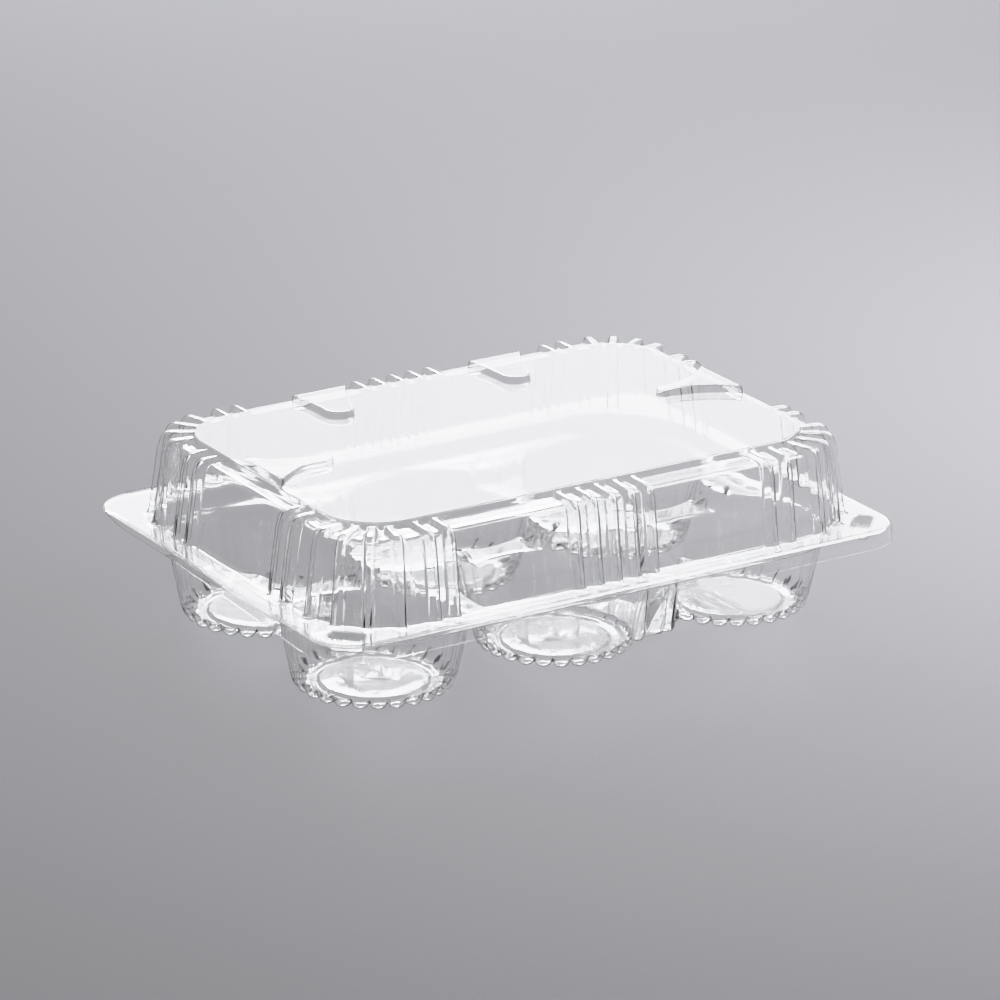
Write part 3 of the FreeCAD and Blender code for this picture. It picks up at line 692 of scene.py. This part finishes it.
# Inside of a cup's floor and foot: radius, height, and how far a flute's ridge moves it in and up.
footProfile = [
    (7.0, 1.65, 0, 0), (13.5, 1.65, 0, 0), (19.2, 1.65, 0, 0), (19.85, 1.58, 0, 0),
    (20.15, 1.3, 0, 0), (20.45, 0.8, 0, 0), (20.8, 0.52, 0, 0), (21.5, 0.45, 0, 0),
    (22.4, 0.55, 0, 0), (23.4, 1.0, 0, 0), (24.6, 1.05, 0, 0.15), (25.4, 0.75, 0, 1.0),
    (26.2, 0.5, 0.1, 2.0), (27.4, 0.45, 0.5, 2.8), (28.4, 0.6, 1.0, 3.1), (29.1, 1.15, 1.4, 2.9),
    (29.5, 2.0, 1.5, 2.3),
]


def smoothstep(x):
    x = np.clip(x, 0, 1)
    return x * x * (3 - 2 * x)


# Each ray of a cup: its angle, its length to the edge of the cup's cell, the height of the
# cup's wall, where it crosses from a notch to a post, its height beyond that, and if it ends at
# the rim.
def cupRays(style, column, row):
    angles = np.arange(style["rays"]) * 2 * math.pi / style["rays"]
    reachX = {sign: rimReach if column == sign else cupPitch[0] / 2 for sign in (1, -1)}
    reachY = {sign: rimReach if row == sign else cupPitch[1] / 2 for sign in (1, -1)}
    for signX in (1, -1):
        for signY in (1, -1):
            if not (column == signX and row == signY):
                corner = math.atan2(signY * reachY[signY], signX * reachX[signX]) % (2 * math.pi)
                angles[np.argmin(np.abs(angles - corner))] = corner
    cos, sin = np.cos(angles), np.sin(angles)
    signsX, signsY = np.where(cos >= 0, 1, -1), np.where(sin >= 0, 1, -1)
    tall = np.array([reachY[s] for s in signsY]) / np.maximum(np.abs(sin), 1e-9)
    wide = np.array([reachX[s] for s in signsX]) / np.maximum(np.abs(cos), 1e-9)
    reach = np.minimum(tall, wide)
    outer = (signsX == column) & (signsY == row) & (column != 0)
    reach = np.where(outer, rimReach, reach)
    onRim = outer | (np.isclose(reach, tall) & (signsY == row))
    onRim |= np.isclose(reach, wide) & (signsX == column) & (column != 0)

    wallTop = rimReach - style["mouthInside"]
    near, beyond = np.full(len(angles), deckTop), np.full(len(angles), deckTop)
    step = (reach + wallTop) / 2
    notches = [(-row * math.pi / 2, notchAcross, cupPitch[1] / 2)]
    for sign, direction in ((1, 0.0), (-1, math.pi)):
        deepSide = row == -1 and {column, column + sign} == {0, 1}
        if -1 <= column + sign <= 1 and not deepSide:
            notches.append((direction, notchAlong, cupPitch[0] / 2))
    for direction, halfWidth, away in notches:
        apart = np.abs((angles - direction + math.pi) % (2 * math.pi) - math.pi)
        first, last = math.atan(halfWidth / away), math.asin(halfWidth / wallTop)
        rise = deckTop - saddleTop
        near = np.minimum(near, saddleTop + rise * ramp(apart, last, style["notchBlur"]))
        beyond = np.minimum(beyond, saddleTop + rise * ramp(apart, first, style["edgeBlur"]))
        crossed = (apart > first - style["edgeBlur"]) & (apart < last + style["notchBlur"])
        step[crossed] = halfWidth / np.sin(np.maximum(apart[crossed], first))
    if row == -1 and column >= 0:
        near, step, beyond = deepChannel(style, column, angles, near, step, beyond)
    return angles, reach, near, step, beyond, onRim


# From 0 to 1 as an angle passes another.
def ramp(apart, at, blur):
    return smoothstep((apart - at + blur) / (2 * blur))


# Lets the low channel between two front cups into the rays of either of them.
def deepChannel(style, column, angles, near, step, beyond):
    direction = 0.0 if column == 0 else math.pi
    apart = np.abs((angles - direction + math.pi) % (2 * math.pi) - math.pi)
    low, first, last = style["channelTop"], *style["channelMid"]
    foot = style["footRadius"] + style["channelFoot"]
    near, step, beyond = near.copy(), step.copy(), beyond.copy()
    ahead = apart < last
    beyond[ahead] = low + (deckTop - low) * smoothstep((apart[ahead] - first) / (last - first))
    if column == 0:
        inside = apart < math.asin(style["channelHalf"] / foot)
        near[inside] = low
        crossed = inside & (apart > first)
        step[crossed] = style["channelHalf"] / np.sin(apart[crossed])
    else:
        along = np.clip((apart[ahead] - style["channelEnd"]) / (last - style["channelEnd"]), 0, 1)
        straight, curved = style["channelCurve"]
        edge = foot + (straight * along + curved * along ** 2) * mm
        near[ahead] = np.clip((edge - foot) / wallLean(style), low, deckTop)
        step[ahead] = edge + style["channelStep"]
    return near, step, beyond


# Run over rise of a cup's wall.
def wallLean(style):
    return (rimReach - style["mouthInside"] - style["footRadius"]) / deckTop


# Keeps a row's points inside the cup's cell.
def limited(block, centre, arms, reach):
    radius = np.minimum(((block[:, :2] - centre) * arms).sum(axis=1), reach - 0.02 * mm)
    return np.column_stack([centre + arms * radius[:, None], block[:, 2]])


# Rows of a cup from its floor out to its cell's edge, and the swell of a flute's ridge.
def cupGrid(style, column, row):
    angles, reach, height, step, beyond, onRim = cupRays(style, column, row)
    centre = np.array([column * cupPitch[0], row * cupPitch[1] / 2])
    arms = np.column_stack([np.cos(angles), np.sin(angles)])
    slope, footTop = wallLean(style), footProfile[-1][1] * mm
    rows, swells = [], []

    def add(radius, z, inward, up):
        radius, z = np.broadcast_to(radius, reach.shape), np.broadcast_to(z, reach.shape)
        rows.append(np.column_stack([centre + arms * radius[:, None], z]))
        inward, up = np.broadcast_to(inward, reach.shape), np.broadcast_to(up, reach.shape)
        swells.append(np.column_stack([-arms * inward[:, None], up]))

    walled = height > style["lowWall"]
    for radius, z, inward, up in footProfile:
        add(radius * mm, np.minimum(z * mm, height), inward * mm, up * mm * walled)
    start = np.minimum(footTop, height)
    absent = 1 - (height - start) / (deckTop - footTop)
    bend = np.clip(height - footTop, 0, style["deckBend"])
    for part in style["wallShares"]:
        z = start + (height - bend - start) * part
        radius = style["footRadius"] + slope * z + absent * part * style["lowLean"] * mm
        fading = style["footFlute"] * np.exp(-(z - footTop) / style["fluteFade"])
        add(radius, z, (style["wallFlute"] + fading) * mm * walled, 0)
    edge = style["footRadius"] + slope * (height - bend) + absent * style["lowLean"] * mm
    for out, down, inward in style["mouthBend"]:
        add(edge + bend * out, height - bend * down, inward * mm * walled, 0)
    edge = edge + bend * out
    wallRows = len(rows)
    climb = beyond - height
    turn = np.minimum(np.abs(climb) / 3, style["deckBend"])
    width = turn * style["stepBend"][0][0]
    step = np.clip(step, edge + width, np.maximum(reach - width, edge + width))
    for out, up in style["stepBend"]:
        add(step - turn * out, height + np.sign(climb) * turn * up, 0, 0)
    for out, up in reversed(style["stepBend"]):
        add(step + turn * out, beyond - np.sign(climb) * turn * up, 0, 0)
    rows[wallRows:] = [limited(block, centre, arms, reach) for block in rows[wallRows:]]
    add(reach, beyond, 0, 0)
    return np.array(rows), np.array(swells), onRim


def makeBase(style):
    skin = sheetSkin()
    cups, centres = [], []
    for row in (-1, 1):
        for column in (-1, 0, 1):
            cups.append(cupGrid(style, column, row))
            centres.append((column * cupPitch[0], row * cupPitch[1] / 2, 0))
    helper = plainObject("cupCentres", centres)
    grids, swells = (np.array([cup[part] for cup in cups]) for part in (0, 1))
    moved = runTree(fluteTree(), grids.reshape(-1, 3), swells.reshape(-1, 3), {
        "Cup centres": helper, "Flutes": style["flutes"], "Roundness": style["fluteRoundness"],
        "Material": petBase}).reshape(grids.shape)
    bpy.data.objects.remove(helper)
    rim = []
    for (_, _, onRim), grid, centre in zip(cups, moved, centres):
        numbers = skin.add(grid).reshape(grid.shape[:2])
        middlePoint = skin.add([(centre[0], centre[1], grid[0][0][2])])[0]
        for i in range(grid.shape[1]):
            skin.face((middlePoint, numbers[0][i], numbers[0][(i + 1) % grid.shape[1]]), True)
        for inner, outer in zip(numbers, numbers[1:]):
            skin.bridge(inner, outer)
        rim += [tuple(np.round(p, 8)) for p in grid[-1][onRim]]
    rim = np.array(sorted(set(rim), key=lambda p: math.atan2(p[1], p[0])))
    half = np.array([cupPitch[0], cupPitch[1] / 2]) + mouthRadius - sheetStyle["thick"]
    q = np.maximum(np.abs(rim[:, :2]) - half + rimReach, 0)
    normals = q / np.linalg.norm(q, axis=1)[:, None] * np.sign(rim[:, :2])
    profile = [(out, deckTop + up * mm) for out, up in style["rimFoot"]]
    profile += [(out, baseTop - down * mm) for out, down in style["rimTop"]]
    rimRing = skin.rows(np.array([
        np.column_stack([rim[:, :2] + normals * out * mm, np.full(len(rim), z)])
        for out, z in profile]))
    loop, outward = roundedLoop(baseHalf[0], baseHalf[1], hingeY, style["flangeCorner"])
    fade = np.clip((hingeY - style["rollEnd"] - loop[:, 1]) / style["rollFade"], 0, 1)
    edge = []
    for inset, drop in style["flangeRoll"]:
        edge.append(np.column_stack([loop - outward * inset * mm, baseTop - drop * mm * fade]))
    edgeRing = skin.rows(np.array(edge))
    holes = [snapPocket(skin, lidStyle, sign, baseTop, style["socketDepth"], style["socketGrow"])
             for sign in (-1, 1)]
    skin.fill(edgeRing[0], [rimRing[-1]] + holes)
    return thicken("cupTray", skin, sheetStyle["thick"], petBase)


base = makeBase(baseStyle)
print("base formed:", len(base.data.polygons), "faces")


foldStyle = dict(
    thick=0.3 * mm, columns=61, rows=13, inset=0.05 * mm,
    below=0.1 * mm, above=0.4 * mm,  # ends of the blend, from the base flange's top
)


# The thin fold along the back edge, bent half round as with the lid shut; the real fold straightens
# as the lid opens.
def makeFold(style):
    middleZ = (flangeTop + baseTop - sheetStyle["thick"]) / 2
    radius = flangeTop - middleZ
    halfLength = flangeHalf[0] - lidStyle["flangeCorner"]
    skin = sheetSkin()
    columns, rows = style["columns"], style["rows"]
    grid = []
    for a in np.linspace(math.pi / 2, -math.pi / 2, rows):
        y = hingeY - style["inset"] + radius * math.cos(a)
        z = middleZ + radius * math.sin(a)
        grid.append([(x, y, z) for x in np.linspace(-halfLength, halfLength, columns)])
    numbers = skin.add(np.array(grid)).reshape(rows, columns)
    for i in range(rows - 1):
        for j in range(columns - 1):
            skin.face((numbers[i][j], numbers[i + 1][j], numbers[i + 1][j + 1], numbers[i][j + 1]))
    return thicken("hingeFold", skin, style["thick"], petFold)


fold = makeFold(foldStyle)
print("fold formed:", len(fold.data.polygons), "faces")

# Each half of the real pack is one sheet: a join inside clear sheet would show as a dark line.
nodes = [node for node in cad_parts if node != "living_hinge"]
onBase = ("cup_", "post_", "saddle_", "deep_", "rim_", "base_", "latch_socket_")
for piece, body in ((lid, "lid"), (base, "base")):
    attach(piece, body)
    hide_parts(*[n for n in nodes if n.startswith(onBase) == (body == "base")])
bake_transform(fold)
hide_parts("living_hinge")
print("pieces ride on their bodies")


stage = dict(
    floorHalf=6.0, airTint="#fdfdff", airOnFloor=0.03,
    tentFront=0.2, tentBack=0.5, tentEdge=(-0.5, 0.6),
    window=(0.62, 0.70, 0.348), windowEdge=(0.84, 0.99), windowGlow=0.5,
    aim=(0, 0, 0.05), bounces=32, clearBounces=64,
    # name: place, size, radiance
    lights={
        "backBox": ((0.98, 1.25, 0.62), (1.7, 0.85), 1.0),
        "sideBox": ((0.536, -0.1, 0.574), (0.51, 0.51), 4.8),
        "farBox": ((1.1, 2.1, 1.46), (0.72, 0.72), 22.0),
    },
)
half = stage["floorHalf"]
floor = plainObject("studioFloor", [(-half, -half, 0), (half, -half, 0), (half, half, 0),
                                    (-half, half, 0)], faces=[(0, 1, 2, 3)])
floor.data.materials.append(studioFloor(floorStyle))

# A light tent: dim for the floor, brighter where the sheet mirrors it, darker in front.
world = bpy.data.worlds.new("studioAir")
world.use_nodes = True
tree = world.node_tree
tree.nodes.clear()
looking = addNode(tree, "ShaderNodeTexCoord").outputs["Generated"]
# its back is a broad lit window, which the flat faces mirror
facing = addNode(tree, "ShaderNodeVectorMath", {0: looking, 1: stage["window"]},
                 operation="DOT_PRODUCT")
window = addNode(tree, "ShaderNodeMapRange", {
    "Value": facing.outputs["Value"], "From Min": stage["windowEdge"][0],
    "From Max": stage["windowEdge"][1], "To Min": 0.0, "To Max": stage["windowGlow"]},
    interpolation_type="SMOOTHSTEP")
tent = addNode(tree, "ShaderNodeMapRange", {
    "Value": facing.outputs["Value"], "From Min": stage["tentEdge"][0],
    "From Max": stage["tentEdge"][1], "To Min": stage["tentFront"], "To Max": stage["tentBack"]})
both = compute(tree, "ADD", tent.outputs[0], window.outputs[0])
path = addNode(tree, "ShaderNodeLightPath")
glow = addNode(tree, "ShaderNodeMix", {
    0: path.outputs["Is Diffuse Ray"], 2: both, 3: stage["airOnFloor"]})
air = addNode(tree, "ShaderNodeBackground", {
    "Color": srgb(stage["airTint"]), "Strength": glow.outputs[0]})
addNode(tree, "ShaderNodeOutputWorld", {"Surface": air.outputs[0]})
bpy.context.scene.world = world

for name, (place, size, radiance) in stage["lights"].items():
    lamp = bpy.data.lights.new(name, "AREA")
    lamp.shape, lamp.size, lamp.size_y = "RECTANGLE", size[0], size[1]
    lamp.energy = radiance * math.pi * size[0] * size[1]
    item = bpy.data.objects.new(name, lamp)
    item.location = place
    ahead = Vector(stage["aim"]) - Vector(place)
    item.rotation_euler = ahead.to_track_quat("-Z", "Y").to_euler()
    item.visible_camera = False
    bpy.context.scene.collection.objects.link(item)

camera = bpy.data.objects.new("camera", bpy.data.cameras.new("camera"))
view = dict(azimuth=-32.68, elevation=20.34, roll=0.63, place=(-1.05525, -1.64701, 0.76737),
            lens=201.15, far=50)
a, e, r = (math.radians(view[k]) for k in ("azimuth", "elevation", "roll"))
backward = Vector((math.sin(a) * math.cos(e), -math.cos(a) * math.cos(e), math.sin(e)))
right = (-backward).cross(Vector((0, 0, 1))).normalized()
up = right.cross(-backward)
right, up = right * math.cos(r) + up * math.sin(r), up * math.cos(r) - right * math.sin(r)
turn = Matrix((right, up, backward)).transposed().to_4x4()
camera.matrix_world = Matrix.Translation(view["place"]) @ turn
camera.data.lens = view["lens"]
camera.data.clip_end = view["far"]
bpy.context.scene.collection.objects.link(camera)
scene = bpy.context.scene
scene.camera = camera
scene.view_settings.view_transform = "Khronos PBR Neutral"
scene.cycles.max_bounces = scene.cycles.transmission_bounces = stage["bounces"]
scene.cycles.transparent_max_bounces = stage["clearBounces"]
scene.cycles.caustics_reflective = False
scene.cycles.caustics_refractive = False
print("stage, lights and camera ready")
